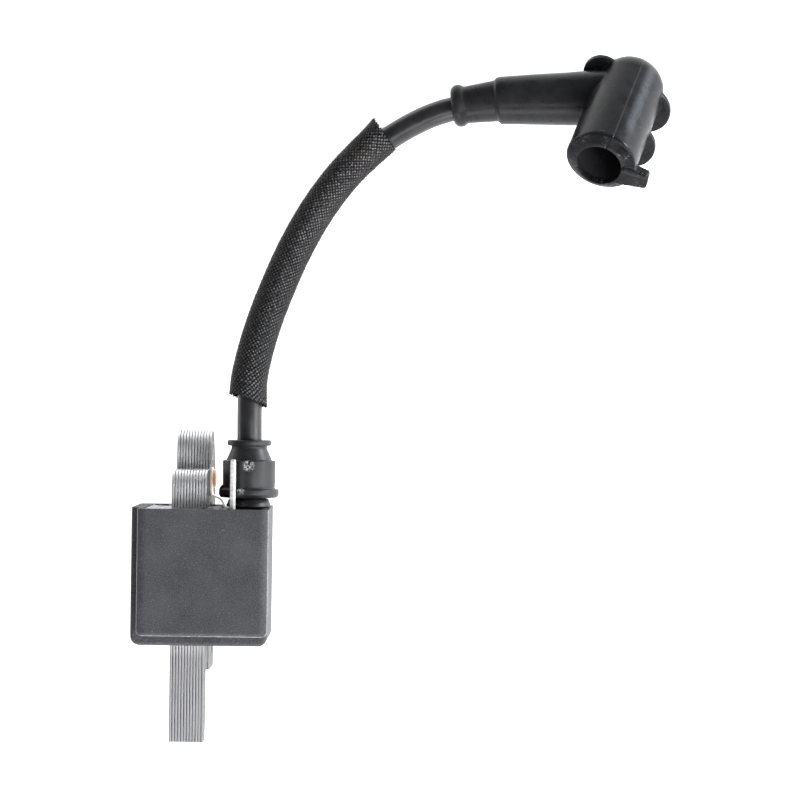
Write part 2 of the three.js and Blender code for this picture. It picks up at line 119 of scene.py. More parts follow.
class Surface:
    """A Principled material with object-space textures."""

    def __init__(self, name, roughness=0.5, metallic=0.0, **sockets):
        self.material = bpy.data.materials.new(name)
        self.material.use_nodes = True
        self.tree = self.material.node_tree
        self.shader = self.tree.nodes["Principled BSDF"]
        self.place = self.node("TexCoord").outputs["Object"]
        self.shader.inputs["Roughness"].default_value = roughness
        self.shader.inputs["Metallic"].default_value = metallic
        for socket, value in sockets.items():
            self.shader.inputs[socket.replace("_", " ")].default_value = value

    def node(self, kind, inputs=None, **settings):
        return add_node(self.tree, kind, inputs, **settings)

    def stretched(self, scale, turn=(0, 0, 0)):
        mapping = self.node("Mapping", {"Vector": self.place, "Scale": scale, "Rotation": turn})
        return mapping.outputs["Vector"]

    def noise(self, size, detail=3.0, roughness=0.55, at=None, distortion=0.0):
        """Noise whose features are about size millimetres across."""
        made = self.node("TexNoise", {"Vector": at or self.place, "Scale": 1 / (size * MM),
                                      "Detail": detail, "Roughness": roughness,
                                      "Distortion": distortion})
        return made.outputs["Fac"]

    def cells(self, size):
        made = self.node("TexVoronoi", {"Vector": self.place, "Scale": 1 / (size * MM)})
        return made.outputs["Distance"]

    def wave(self, scale, axis, distortion=0.0):
        return self.node("TexWave", {"Vector": self.place, "Scale": scale,
                                     "Distortion": distortion},
                         bands_direction=axis).outputs["Fac"]

    def spread(self, value, low, high, to_low=0.0, to_high=1.0):
        made = self.node("MapRange", {"Value": value, "From Min": low, "From Max": high,
                                      "To Min": to_low, "To Max": to_high})
        return made.outputs["Result"]

    def combine(self, operation, a, b=0.0, clamp=False):
        made = self.node("Math", {0: a, 1: b}, operation=operation, use_clamp=clamp)
        return made.outputs["Value"]

    def blend(self, share, a, b):
        """From colour a to colour b; each is a socket or three numbers."""
        a, b = (value if is_socket(value) else (*value, 1) for value in (a, b))
        return self.node("Mix", {0: share, 6: a, 7: b}, data_type="RGBA").outputs[2]

    def product(self, first, *others):
        """Several masks multiplied together."""
        for value in others:
            first = self.combine("MULTIPLY", first, value)
        return first

    def plus(self, a, b, clamp=False):
        return self.combine("ADD", a, b, clamp)

    def distance(self, place):
        """How far each point lies from a place given in metres."""
        made = self.node("VectorMath", {0: self.place, 1: tuple(place)}, operation="DISTANCE")
        return made.outputs["Value"]

    def reach(self, direction, offset=0.0):
        """How far each point lies along a direction, plus an offset, in metres."""
        value = self.node("VectorMath", {0: self.place, 1: tuple(direction)},
                          operation="DOT_PRODUCT").outputs["Value"]
        return self.plus(value, offset) if offset else value

    def painted(self):
        """The colour that was linked last, to paint over."""
        return self.shader.inputs["Base Color"].links[0].from_socket

    def colour(self, value):
        self.tree.links.new(value, self.shader.inputs["Base Color"])

    def rough(self, value, low=None, high=None):
        """Roughness from a value, or from low to high over a noise's usual range."""
        if high is not None:
            value = self.spread(value, 0.3, 0.7, low, high)
        self.tree.links.new(value, self.shader.inputs["Roughness"])

    def relief(self, *layers):
        """Bump from (height, strength, distance in mm) layers; hands back the material."""
        normal = None
        for height, strength, distance in layers:
            inputs = {"Height": height, "Strength": strength, "Distance": distance * MM}
            if normal:
                inputs["Normal"] = normal
            normal = self.node("Bump", inputs).outputs["Normal"]
        self.tree.links.new(normal, self.shader.inputs["Normal"])
        return self.material


def steel_edges():
    """Punched silicon steel: satin sheared edges with fine streaks, a little stain, and painted
    shade towards the leg's lower end.
    """
    s = Surface("lamination_steel", metallic=1.0)
    streaks = s.noise(0.8, 4, 0.6, at=s.stretched((1.6, 0.5, 0.5)))
    blotches = s.noise(7, 4, 0.6)
    tone = s.plus(s.product(streaks, 0.5), s.product(blotches, 0.5))
    bright = s.blend(s.spread(tone, 0.35, 0.65), (0.76, 0.76, 0.77), (1.0, 0.99, 0.99))
    stain = s.spread(s.noise(3, 5, 0.65), 0.6, 0.78)
    # painted shade: the sheets are darkened towards the lower end of the leg
    lower_leg_shade = s.spread(s.reach((0, 1, 0)), -0.010, -0.020, 0.0, 0.84)
    bright = s.blend(lower_leg_shade, bright, (0.30, 0.30, 0.31))
    s.colour(s.blend(s.product(stain, 0.4), bright, (0.30, 0.28, 0.26)))
    s.rough(streaks, 0.44, 0.58)
    return s.relief((streaks, 0.12, 0.04))


def insulating_varnish():
    """Dark insulation on the sheets' faces and over the flanks of their edges."""
    s = Surface("core_varnish", roughness=0.55)
    grain = s.noise(0.4, 3)
    s.colour(s.blend(s.spread(grain, 0.3, 0.7), (0.035, 0.035, 0.037), (0.09, 0.088, 0.085)))
    return s.relief((grain, 0.2, 0.04))


def case_plastic():
    """Grey glass-filled plastic with a fine sparked texture and pale flecks."""
    s = Surface("case_plastic", Specular_IOR_Level=0.4)
    grain = s.noise(0.32, 3, 0.7)
    coarse = s.noise(0.9, 3, 0.6)
    cloud = s.noise(14, 3, 0.5)
    base = s.blend(s.spread(s.plus(grain, s.product(cloud, 0.4)), 0.56, 0.84),
                   (0.024, 0.024, 0.028), (0.074, 0.074, 0.084))
    fleck = s.spread(s.cells(0.5), 0.26, 0.12)
    sparse = s.product(fleck, s.spread(s.noise(0.8, 2), 0.48, 0.6))
    flecked = s.blend(s.product(sparse, 0.5), base, (0.26, 0.26, 0.28))
    s.colour(flecked)
    s.rough(coarse, 0.48, 0.68)
    return s.relief((grain, 0.45, 0.05), (coarse, 0.25, 0.08))


def edge_highlight_plastic():
    """The case's plastic along its edges, painted pale as a highlight."""
    s = Surface("case_plastic_edge_highlight", Specular_IOR_Level=0.5)
    highlight_noise = s.noise(0.8, 4, 0.6)
    # painted highlight: a pale colour for the case's edges
    s.colour(s.blend(s.spread(highlight_noise, 0.4, 0.62), (0.10, 0.10, 0.11), (0.36, 0.36, 0.37)))
    s.rough(highlight_noise, 0.28, 0.5)
    return s.relief((highlight_noise, 0.15, 0.05))


def resin():
    """Poured grey epoxy: glossy and slowly rippled, with pale specks painted as glints and a
    painted shadow darkening it to the right.
    """
    s = Surface("potting_resin", Specular_IOR_Level=0.3, Coat_Weight=0.15, Coat_Roughness=0.1)
    swirl = s.noise(5, 4, 0.5, distortion=0.8)
    glint_specks = s.spread(s.cells(0.8), 0.14, 0.06)
    base = s.blend(s.spread(swirl, 0.35, 0.65), (0.13, 0.13, 0.135), (0.30, 0.30, 0.31))
    # painted shadow: the resin is darkened to the right
    shadow_side = s.spread(s.reach((1, 0, 0)), -0.003, 0.001)
    painted_shadow = s.blend(shadow_side, base, (0.012, 0.012, 0.013))
    # painted glints: small pale specks over the resin
    s.colour(s.blend(s.product(glint_specks, 0.8), painted_shadow, (0.75, 0.75, 0.75)))
    s.rough(s.plus(s.spread(swirl, 0.3, 0.7, 0.10, 0.24), s.product(shadow_side, 0.3)))
    return s.relief((s.noise(3.5, 3), 0.15, 0.25), (glint_specks, 0.2, 0.06))


def rubber(name, dark, light, roughness, grain_size=0.25, dust=0.25, shine=0.4):
    """Moulded rubber: fine grain, faint bloom, and a few pale scuffs."""
    s = Surface(name, Specular_IOR_Level=shine)
    grain = s.noise(grain_size, 4, 0.65)
    bloom = s.noise(4.5, 5, 0.6)
    base = s.blend(s.spread(s.plus(s.product(grain, 0.35), bloom), 0.5, 0.85),
                   dark, light)
    drawn = s.stretched((1, 0.4, 1), (0.3, 0.2, 0.6))
    streak = s.spread(s.noise(0.9, 6, 0.7, at=drawn), 0.62, 0.8)
    patch = s.spread(s.noise(7, 2), 0.5, 0.75)
    s.colour(s.blend(s.product(s.product(streak, patch), dust), base,
                     (0.16, 0.16, 0.17)))
    s.rough(bloom, roughness - 0.08, roughness + 0.1)
    return s, grain, bloom


def metal(name, dark, light, roughness, size=0.8, relief=0.25, metallic=1.0, lift=0.0):
    """Plated or drawn metal: mottled colour, uneven gloss, a little relief, and a painted glow
    where lift is set.
    """
    # painted glow: lift sets a faint emission in the light colour
    s = Surface(name, metallic=metallic, Emission_Color=(*light, 1), Emission_Strength=lift)
    mottle = s.noise(size, 5, 0.65)
    fine = s.noise(size * 0.25, 4, 0.6)
    s.colour(s.blend(s.spread(s.plus(mottle, s.product(fine, 0.4)), 0.5, 0.9),
                     dark, light))
    s.rough(fine, roughness - 0.08, roughness + 0.14)
    return s.relief((mottle, relief, 0.08), (fine, relief, 0.03))


def plastic(name, dark, light, roughness, size=0.6):
    s = Surface(name, Specular_IOR_Level=0.45)
    mottle = s.noise(size, 4, 0.6)
    wide = s.noise(size * 9, 3, 0.5)
    s.colour(s.blend(s.spread(s.plus(mottle, wide), 0.7, 1.3), dark, light))
    s.rough(mottle, roughness - 0.06, roughness + 0.1)
    return s.relief((mottle, 0.2, 0.05))


def braid_yarn():
    """Black synthetic yarn: a painted glint where it crowns over a crossing, painted shade where
    it dives under.
    """
    s = Surface("braid_yarn", Specular_IOR_Level=0.22)
    crown_light = s.node("Attribute", attribute_name="crown_light").outputs["Fac"]
    filament = s.noise(0.16, 3, 0.6)
    yarn = s.noise(0.9, 2, 0.5)
    tint = s.noise(6, 3, 0.5)
    # painted shade: the yarn is darkened where it dives under a crossing
    base = s.blend(s.spread(crown_light, 0.3, 0.92), (0.002, 0.002, 0.002), (0.032, 0.032, 0.034))
    warm = s.blend(s.spread(tint, 0.55, 0.7), base, (0.022, 0.018, 0.016))
    # painted glint on the crowns
    glint = s.product(s.spread(crown_light, 0.68, 0.93),
                      s.spread(s.plus(filament, yarn), 0.92, 1.12))
    s.colour(s.blend(s.product(glint, 0.75), warm, (0.46, 0.46, 0.46)))
    s.rough(yarn, 0.3, 0.55)
    return s.relief((filament, 0.35, 0.04))


def wound_wire():
    s = Surface("enamelled_wire", metallic=0.7)
    turns = s.wave(320, "Y", 0.4)
    s.colour(s.blend(turns, (0.16, 0.05, 0.02), (0.62, 0.26, 0.10)))
    s.rough(s.spread(turns, 0, 1, 0.5, 0.25))
    return s.relief((turns, 0.8, 0.2))


def circuit_board():
    s = Surface("circuit_board", Coat_Weight=0.3)
    weave = s.product(s.wave(250, "X"), s.wave(250, "Y"))
    s.colour(s.blend(weave, (0.02, 0.12, 0.06), (0.05, 0.22, 0.12)))
    s.rough(s.spread(weave, 0, 1, 0.35, 0.55))
    return s.relief((weave, 0.2, 0.05))


# ---- mesh helpers ----


def claim(piece, body, node):
    """Say which body carries a piece, which CAD node it stands for."""
    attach(piece, body)
    if node:
        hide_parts(node)
    return piece


def add_mesh(name, vertices, faces, material, smooth_angle=35.0):
    """A mesh piece from millimetre vertices."""
    mesh = bpy.data.meshes.new(name)
    points = np.asarray(vertices, dtype=float) * MM
    mesh.from_pydata([tuple(p) for p in points], [], [tuple(f) for f in faces])
    mesh.validate()
    piece = add_object(name, mesh)
    mesh.materials.append(material)
    shade(piece, smooth_angle)
    return piece


def shade(piece, angle, flat_faces=False):
    """Smooth shading: edges sharper than angle stay crisp, flat_faces keeps big faces level."""
    mesh = piece.data
    work = bmesh.new()
    work.from_mesh(mesh)
    bmesh.ops.recalc_face_normals(work, faces=work.faces)
    for face in work.faces:
        face.smooth = True
    for edge in work.edges:
        if len(edge.link_faces) == 2:
            edge.smooth = edge.calc_face_angle(0) < math.radians(angle)
    work.to_mesh(mesh)
    work.free()
    if flat_faces:
        apply_modifier(piece, "WEIGHTED_NORMAL", keep_sharp=True, weight=80)


def circle(radius, count, z=0.0):
    turns = np.arange(count) * 2 * math.pi / count
    return np.stack([radius * np.cos(turns), radius * np.sin(turns), np.full(count, z)], axis=1)


def unit(rows):
    return rows / np.linalg.norm(rows, axis=1)[:, None]


def facing(direction):
    """The turn that stands local Z along a direction."""
    return Vector(direction).to_track_quat("Z", "Y").to_matrix()


def loft(rings, closed=True):
    """Vertices and faces through rings of equal length, with end caps where closed is on."""
    count = len(rings[0])
    vertices = np.concatenate([np.asarray(r, dtype=float) for r in rings])
    faces = []
    for k in range(len(rings) - 1):
        for i in range(count):
            j = (i + 1) % count
            faces.append((k * count + i, k * count + j, (k + 1) * count + j, (k + 1) * count + i))
    if closed:
        faces.append(tuple(reversed(range(count))))
        last = (len(rings) - 1) * count
        faces.append(tuple(range(last, last + count)))
    return vertices, faces


def rounded_profile(points, rounding, steps=5):
    """A polyline of (r, z) whose inner corners are rounded off by a radius."""
    out = [np.array(points[0], float)]
    for i in range(1, len(points) - 1):
        before, corner, after = (np.array(points[k], float) for k in (i - 1, i, i + 1))
        back, ahead = before - corner, after - corner
        reach = min(rounding, 0.45 * np.linalg.norm(back), 0.45 * np.linalg.norm(ahead))
        if reach < 1e-3:
            out.append(corner)
            continue
        a = corner + back / np.linalg.norm(back) * reach
        b = corner + ahead / np.linalg.norm(ahead) * reach
        for t in np.linspace(0, 1, steps):
            out.append((1 - t) ** 2 * a + 2 * t * (1 - t) * corner + t ** 2 * b)
    out.append(np.array(points[-1], float))
    return out


def lathe(profile, segments=72):
    """A closed round solid about Z from (r, z) points that start and end near the axis."""
    return loft([circle(max(r, 0.02), segments, z) for r, z in profile])


def joined(*parts):
    """Several (vertices, faces) as one."""
    vertices, faces, start = [], [], 0
    for part_vertices, part_faces in parts:
        vertices.append(np.asarray(part_vertices, float))
        faces += [tuple(i + start for i in face) for face in part_faces]
        start += len(part_vertices)
    return np.concatenate(vertices), faces


def placed(part, matrix):
    vertices, faces = part
    rotation = np.array(matrix.to_3x3())
    return np.asarray(vertices) @ rotation.T + np.array(matrix.translation), faces


def along(start, end):
    """A matrix that stands local Z on the line from start to end."""
    turn = facing(Vector(end) - Vector(start)).to_4x4()
    return Matrix.Translation(Vector(start)) @ turn


def apply_modifier(piece, kind, **settings):
    modifier = piece.modifiers.new(kind.lower(), kind)
    for key, value in settings.items():
        setattr(modifier, key, value)
    graph = bpy.context.evaluated_depsgraph_get()
    made = bpy.data.meshes.new_from_object(piece.evaluated_get(graph))
    piece.modifiers.clear()
    old = piece.data
    piece.data = made
    bpy.data.meshes.remove(old)


def rod(radius, half, segments, rounding=0.0):
    """A round bar along Z, half its length to each side of the origin, with rounded rims."""
    profile = [(0, -half), (radius, -half), (radius, half), (0, half)]
    return lathe(rounded_profile(profile, rounding), segments)


def lying(part, x, y, z, axis="Y"):
    """A part made along Z, laid along X or (by a turn about X) along Y, and moved to a place."""
    return placed(part, Matrix.Translation((x, y, z)) @ Matrix.Rotation(math.pi / 2, 4, axis))


def bevel(piece, width, segments, angle, **settings):
    """Round off the edges sharper than an angle in degrees."""
    apply_modifier(piece, "BEVEL", width=width * MM, segments=segments, limit_method="ANGLE",
                   angle_limit=math.radians(angle), **settings)


def carve(piece, tool, operation="DIFFERENCE"):
    """Cut a throwaway tool of (vertices, faces) out of a piece, or join the two."""
    cutter = add_mesh("cutter", *tool, piece.data.materials[0])
    apply_modifier(piece, "BOOLEAN", object=cutter, operation=operation, solver="EXACT")
    mesh = cutter.data
    bpy.data.objects.remove(cutter)
    bpy.data.meshes.remove(mesh)


def route(points, per_leg=12):
    """Centripetal Catmull-Rom curve through points."""
    p = [np.array(q, float) for q in points]
    p = [2 * p[0] - p[1]] + p + [2 * p[-1] - p[-2]]
    out = []
    for a, b, c, d in zip(p, p[1:], p[2:], p[3:]):
        t = [0.0]
        for u, v in ((a, b), (b, c), (c, d)):
            t.append(t[-1] + math.sqrt(np.linalg.norm(v - u)))
        for s in np.linspace(t[1], t[2], per_leg, endpoint=False):
            ab = (t[1] - s) / (t[1] - t[0]) * a + (s - t[0]) / (t[1] - t[0]) * b
            bc = (t[2] - s) / (t[2] - t[1]) * b + (s - t[1]) / (t[2] - t[1]) * c
            cd = (t[3] - s) / (t[3] - t[2]) * c + (s - t[2]) / (t[3] - t[2]) * d
            left = (t[2] - s) / (t[2] - t[0]) * ab + (s - t[0]) / (t[2] - t[0]) * bc
            right = (t[3] - s) / (t[3] - t[1]) * bc + (s - t[1]) / (t[3] - t[1]) * cd
            out.append((t[2] - s) / (t[2] - t[1]) * left + (s - t[1]) / (t[2] - t[1]) * right)
    out.append(p[-2])
    return np.array(out)


def even(points, count):
    """The polyline resampled at even steps."""
    steps = np.linalg.norm(np.diff(points, axis=0), axis=1)
    reach = np.concatenate([[0], np.cumsum(steps)])
    wanted = np.linspace(0, reach[-1], count)
    return np.stack([np.interp(wanted, reach, points[:, k]) for k in range(3)], axis=1)


def frames(points):
    """Tangents and two transported normals along a polyline."""
    tangents = unit(np.gradient(points, axis=0))
    first = np.cross(tangents[0], [0, 0, 1.0])
    first /= np.linalg.norm(first)
    sides = [first]
    for t in tangents[1:]:
        side = sides[-1] - t * np.dot(sides[-1], t)
        sides.append(side / np.linalg.norm(side))
    sides = np.array(sides)
    return tangents, sides, np.cross(tangents, sides)


# ---- high-tension lead and braided sleeve ----

LEAD_ROUTE = [
    (11.7, 25, 24), (11.7, 33, 24), (11.7, 41.2, 24), (11.6, 49.5, 23.8), (11.7, 58.3, 22.5),
    (13.3, 66.8, 20), (15.8, 75.5, 16.8), (18.9, 84.4, 13.5), (23.5, 95.6, 10), (29.6, 107, 7.4),
    (36.7, 117, 6), (42.6, 123.4, 5.6), (47, 127.1, 5.5), (51.5, 130.2, 5.65), (56.8, 133.3, 6.1),
    (62.4, 135.9, 6.8), (68.3, 137.7, 7.5), (74, 138.5, 8.15), (80, 139, 8.8), (94, 139.8, 10.1),
    (108.5, 140.7, 11.6),
]
SLEEVE_ROUTE = [
    (11.1, 52.6, 23.4), (11.3, 58.5, 22.5), (12.9, 67, 20), (15.3, 75.8, 16.8), (18.4, 84.7, 13.5),
    (23, 95.9, 10), (29.1, 107.4, 7.4), (36.2, 117.4, 6), (42.3, 123.8, 5.5), (49, 129.5, 5.5),
]
LEAD_DIAMETER = 7.0


def lead_rubber():
    s, grain, bloom = rubber("lead_rubber", (0.012, 0.012, 0.013), (0.024, 0.024, 0.026), 0.32,
                             dust=0.2, shine=0.5)
    return s.relief((grain, 0.12, 0.03), (bloom, 0.12, 0.3))


def make_lead():
    points = route(LEAD_ROUTE, 8)
    data = bpy.data.curves.new("lead", "CURVE")
    data.dimensions = "3D"
    data.bevel_depth = LEAD_DIAMETER / 2 * MM
    data.bevel_resolution = 10
    data.use_fill_caps = True
    spline = data.splines.new("POLY")
    spline.points.add(len(points) - 1)
    for place, point in zip(spline.points, points):
        place.co = (*(point * MM), 1)
    data.materials.append(lead_rubber())
    lead = add_object("lead", data)
    claim(lead, "coil", "ht_lead")
    length = float(np.linalg.norm(np.diff(points, axis=0), axis=1).sum())
    return lead, length


BRAID = {"yarns": 28, "turns": 2.6, "radius": 4.84, "wave": 0.18, "width": 0.38, "thick": 0.16}
SPARE = 5.0  # how far the sleeve's centreline is carried on past each cut end
FLARE = {"low": 0.35, "high": 0.6, "reach": 6.0}
SLANT = {"low": 1.7, "high": 0.5}  # the cut ends are oblique: their right side lies lower
SHEEN_SIDE = np.array([0.12, -0.08, 0.99])  # the upper side, where the yarns get a painted sheen and their flanks painted shade
SAG = (0.9, 0.55)  # the loose upper end stands off to the left and up


class Sleeve:
    """Places on the sleeve by distance from its lower end and angle round it."""

    def __init__(self):
        line = route(SLEEVE_ROUTE, 24)
        start = line[0] - line[1]
        end = line[-1] - line[-2]
        line = np.vstack([line[0] + start / np.linalg.norm(start) * SPARE, line,
                          line[-1] + end / np.linalg.norm(end) * SPARE])
        self.line = even(line, 400)
        self.tangents, self.sides, self.ups = frames(self.line)
        steps = np.linalg.norm(np.diff(self.line, axis=0), axis=1)
        self.reach = np.concatenate([[0], np.cumsum(steps)]) - SPARE
        self.length = self.reach[-1] - SPARE

    def read(self, rows, place):
        return np.stack([np.interp(place, self.reach, rows[:, k]) for k in range(3)], axis=1)

    def at(self, distance, angle, radius):
        """Surface points, with the outward and forward directions there."""
        low = np.exp(-distance / FLARE["reach"])
        high = np.exp(-(self.length - distance) / FLARE["reach"])
        lean = SLANT["low"] * low + SLANT["high"] * high
        place = distance - lean * np.cos(angle)
        centre, side, up = (self.read(rows, place) for rows in (self.line, self.sides, self.ups))
        centre = centre - (side * SAG[0] + up * SAG[1]) * high[:, None]
        out = np.cos(angle)[:, None] * side + np.sin(angle)[:, None] * up
        radius = radius + FLARE["low"] * low + FLARE["high"] * high
        return centre + out * radius[:, None], out, self.read(self.tangents, place)


sleeve = Sleeve()


def braid_half(name, direction, material):
    """All the yarns that run one way round, over and under those of the other half."""
    count = int(BRAID["yarns"] * 2 * BRAID["turns"] * 3) + 1
    distance = np.linspace(0, sleeve.length, count)
    wind = 2 * math.pi * BRAID["turns"] * np.linspace(0, 1, count)
    yarns, crowns = [], []
    for k in range(BRAID["yarns"]):
        wobble = 0.012 * rng.standard_normal(count).cumsum() / math.sqrt(count)
        angle = 2 * math.pi * k / BRAID["yarns"] + direction * wind + wobble
        lift = direction * BRAID["wave"] * np.cos(BRAID["yarns"] * wind)
        radius = BRAID["radius"] + lift + 0.02 * rng.standard_normal()
        centre, out, _ = sleeve.at(distance, angle, radius)
        flat = unit(np.cross(unit(np.gradient(centre, axis=0)), out))
        width = BRAID["width"] * (1 + 0.08 * rng.standard_normal())
        section = [centre + flat * width, centre + out * BRAID["thick"],
                   centre - flat * width, centre - out * BRAID["thick"]]
        yarns.append(loft(np.stack(section, axis=1)))
        # painted sheen and shade: crowns on the upper side are painted brighter, those round the
        # flanks darker, and each yarn's underside darkest
        sheen = 0.62 + 0.38 * np.clip(out @ SHEEN_SIDE, 0, 1) ** 1.5
        crown_light = (0.5 + 0.5 * lift / BRAID["wave"]) * sheen
        crowns.append(np.stack([0.7 * crown_light, crown_light, 0.7 * crown_light, 0 * crown_light], axis=1).reshape(-1))
    piece = add_mesh(name, *joined(*yarns), material, smooth_angle=100)
    layer = piece.data.attributes.new("crown_light", "FLOAT", "POINT")
    layer.data.foreach_set("value", np.concatenate(crowns).astype(np.float32))
    return claim(piece, "coil", "braided_sleeve")


STRANDS = {"count": 54, "radius": (4.65, 5.0), "length": (0.5, 1.6), "thick": 0.06, "rings": 5}


def frayed_ends(material):
    """Short loose filaments at the sleeve's two cut ends."""
    parts = []
    for end, sign in ((0.0, -1), (sleeve.length, 1)):
        count = STRANDS["count"]
        angles = rng.uniform(0, 2 * math.pi, count)
        roots, outs, aheads = sleeve.at(np.full(count, end - 0.4 * sign), angles,
                                        rng.uniform(*STRANDS["radius"], count))
        for root, out, forward in zip(roots, outs, aheads):
            ahead = forward * sign
            side = np.cross(ahead, out)
            twist = side * rng.uniform(-0.6, 0.6)
            lean = rng.uniform(-0.25, 0.45)
            length = rng.uniform(*STRANDS["length"])
            t = np.linspace(0, 1, STRANDS["rings"])[:, None]
            path = root + (ahead + twist) * length * t + out * lean * length * t ** 2
            rings = []
            for i, centre in enumerate(path):
                thick = STRANDS["thick"] * (1 - 0.6 * i / (STRANDS["rings"] - 1))
                rings.append([centre + thick * out, centre + thick * side,
                              centre - thick * out, centre - thick * side])
            parts.append(loft(rings))
    piece = add_mesh("sleeve_frayed_ends", *joined(*parts), material, smooth_angle=100)
    return claim(piece, "coil", None)


lead, LEAD_LENGTH = make_lead()
yarn = braid_yarn()
braid = [braid_half("sleeve_braid_left", 1, yarn), braid_half("sleeve_braid_right", -1, yarn)]
fray = frayed_ends(yarn)

# ---- plug boot ----

BARREL_CENTRE = Vector((119, 143.3, 10))
BARREL_AZIMUTH = math.radians(246.5)
BARREL_ELEVATION = math.radians(43.3)
BOOT_VOXEL = 0.32  # the boot's parts are fused into one skin of this grain
BARREL = {"radius": 10.0, "rim": 34.8, "mouth": 36.2, "bore": 6.5, "inner": 5.2}
NECK_START = Vector((68.3, 138.3, 7.6))
NECK_END = Vector((116.8, 141.2, 12.4))
NECK_SECTIONS = [  # centre and outer radius along the neck, from the bead to the barrel
    ((70.2, 138.6, 7.9), 5.2), ((75.5, 139.3, 8.6), 5.6), ((81.0, 140.0, 9.35), 5.95),
    ((81.3, 140.0, 9.4), 6.65), ((82.0, 140.1, 9.5), 6.85), ((92, 140.4, 10.4), 7.25),
    ((101.9, 140.6, 11.3), 7.65), ((110, 141, 11.9), 7.95), ((117.2, 141.2, 12.4), 8.2),
]
GRIPS = [(6, -2.3, 1.5, 7.9), (6, -4.2, 16.6, 7.6), (-9.1, 1, -1.5, 5.6)]
GRIP_FLOOR = -10.2


def boot_frame():
    out = Vector((math.cos(BARREL_ELEVATION) * math.cos(BARREL_AZIMUTH),
                  math.cos(BARREL_ELEVATION) * math.sin(BARREL_AZIMUTH),
                  math.sin(BARREL_ELEVATION)))
    side = Vector((-math.sin(BARREL_AZIMUTH), math.cos(BARREL_AZIMUTH), 0))
    back = out.cross(side)
    matrix = Matrix((side, back, out)).transposed().to_4x4()
    matrix.translation = BARREL_CENTRE
    return matrix


BOOT = boot_frame()


LIP = {"from": 27.0, "over": 7.8, "inner": 6.8, "thick": 3.2, "thinner": 0.17}


def barrel_outside():
    """The barrel: a dome, a straight run, and a lip that is thinner on its lower side."""
    dome = [(BARREL["radius"] * math.cos(a), BARREL["radius"] * math.sin(a))
            for a in np.linspace(-math.pi / 2, 0, 18)]
    straight = [(BARREL["radius"], z) for z in (9, 18, 26, 28, 30, 32, 33.4)]
    rim = [(BARREL["radius"], BARREL["rim"]), (BARREL["bore"] + 0.2, BARREL["mouth"]),
           (0, BARREL["mouth"])]
    vertices, faces = lathe(dome + straight[:-1] + rounded_profile([straight[-1]] + rim, 0.9, 7))
    near = np.clip((vertices[:, 2] - LIP["from"]) / LIP["over"], 0, 1)
    out = np.clip((np.hypot(*vertices[:, :2].T) - LIP["inner"]) / LIP["thick"], 0, 1)
    lower = vertices[:, 1] < 0
    vertices[lower, 1] *= (1 - LIP["thinner"] * near * near * (3 - 2 * near) * out)[lower]
    return vertices, faces


def neck_outside():
    """The neck's rings, each square to the neck's course."""
    centres = np.array([centre for centre, _ in NECK_SECTIONS], float)
    return loft([circle(radius, 64) @ np.array(facing(t)).T + centre
                 for (centre, radius), t in zip(NECK_SECTIONS, np.gradient(centres, axis=0))])


def bead():
    place = along(NECK_SECTIONS[0][0], NECK_SECTIONS[1][0])
    profile = rounded_profile([(0, -2.2), (4.9, -2.2), (6.15, -0.9), (6.15, 0.9), (4.9, 2.2),
                               (0, 2.2)], 1.2)
    return placed(lathe(profile, 64), place)


def grip(x, y, z, r):
    """A round finger grip square to the barrel, cut level with the barrel's underside."""
    vertices, faces = rod(r, 1.2, 72, 0.55)
    vertices = vertices + np.array([x, y, z])
    vertices[:, 1] = np.maximum(vertices[:, 1], GRIP_FLOOR)
    return placed((vertices, faces), BOOT)


def pull_tab():
    """The tab beside the mouth: a plate with round corners and a low rib on its face."""
    outline = [(6.5, 3.0), (6.5, -3.6), (13.6, -2.2), (14.2, -2.0), (14.6, -1.6), (14.6, -1.0),
               (14.0, 1.9), (13.8, 2.5), (13.3, 2.8), (12.6, 2.85)]
    rings = [[(x, y, 32.4) for x, y in outline],
             [(x, y, 36.2 - 0.15 * (x - 6.5)) for x, y in outline]]
    rib = [[(6.5, 2.9, z + 1), (6.5, 1.6, z + 1), (13.2, 1.8, z), (13.2, 2.7, z)]
           for z in (34.8, 35.7)]
    return placed(joined(loft(rings), loft(rib)), BOOT)


def web():
    """The rubber that fills the inner corner between neck and barrel."""
    turn = np.array(facing((0.85, -0.45, 0.5))).T
    rings = []
    for share in np.linspace(0, 1, 7):
        centre = np.array((106, 137.2, 12.5)) + share * np.array((6, -5.2, 6.5))
        rings.append(circle(4.6 - math.sin(share * math.pi), 24) @ turn + centre)
    return loft(rings)


